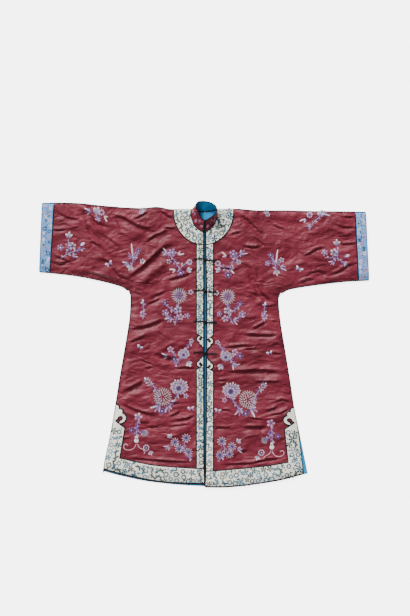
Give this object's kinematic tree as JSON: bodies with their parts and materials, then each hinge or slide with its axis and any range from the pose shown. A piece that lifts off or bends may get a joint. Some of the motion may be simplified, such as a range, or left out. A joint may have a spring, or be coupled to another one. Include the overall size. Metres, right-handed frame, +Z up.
{
  "type": "chinese jacket",
  "caption": "Maroon silk Chinese jacket laid flat, front up, with wide sleeves, a standing collar, ribbon trims with cloud heads, pale blue cuff bands and cord frogs down its centre opening.",
  "frame": {"origin": "under the middle of the jacket's box, on the surface it lies on", "axes": "+X to the viewer's right along the sleeves, +Y up the jacket towards its collar, +Z up from the surface"},
  "size_m": [1.319, 1.1442, 0.0477],
  "materials": {
    "silk": "satin",
    "lining": "satin",
    "cuff_silk": "satin",
    "ribbon": "matte",
    "cord": "satin"
  },
  "bodies": {
    "root": {"lining_back": "lining", "body_left": "silk", "cuff_left": "cuff_silk", "yoke_left": "ribbon", "front_band_upper_left": "ribbon", "front_band_lower_left": "ribbon", "hem_trim_left": "ribbon", "piping_upper_left": "cord", "piping_lower_left": "cord", "frog_1_left": "cord", "frog_2_left": "cord", "frog_3_left": "cord", "frog_4_left": "cord", "body_right": "silk", "cuff_right": "cuff_silk", "yoke_right": "ribbon", "front_band_upper_right": "ribbon", "front_band_lower_right": "ribbon", "hem_trim_right": "ribbon", "piping_upper_right": "cord", "piping_lower_right": "cord", "frog_1_right": "cord", "frog_2_right": "cord", "frog_3_right": "cord", "frog_4_right": "cord", "collar": "silk", "collar_lining": "lining"}
  },
  "joints": []
}
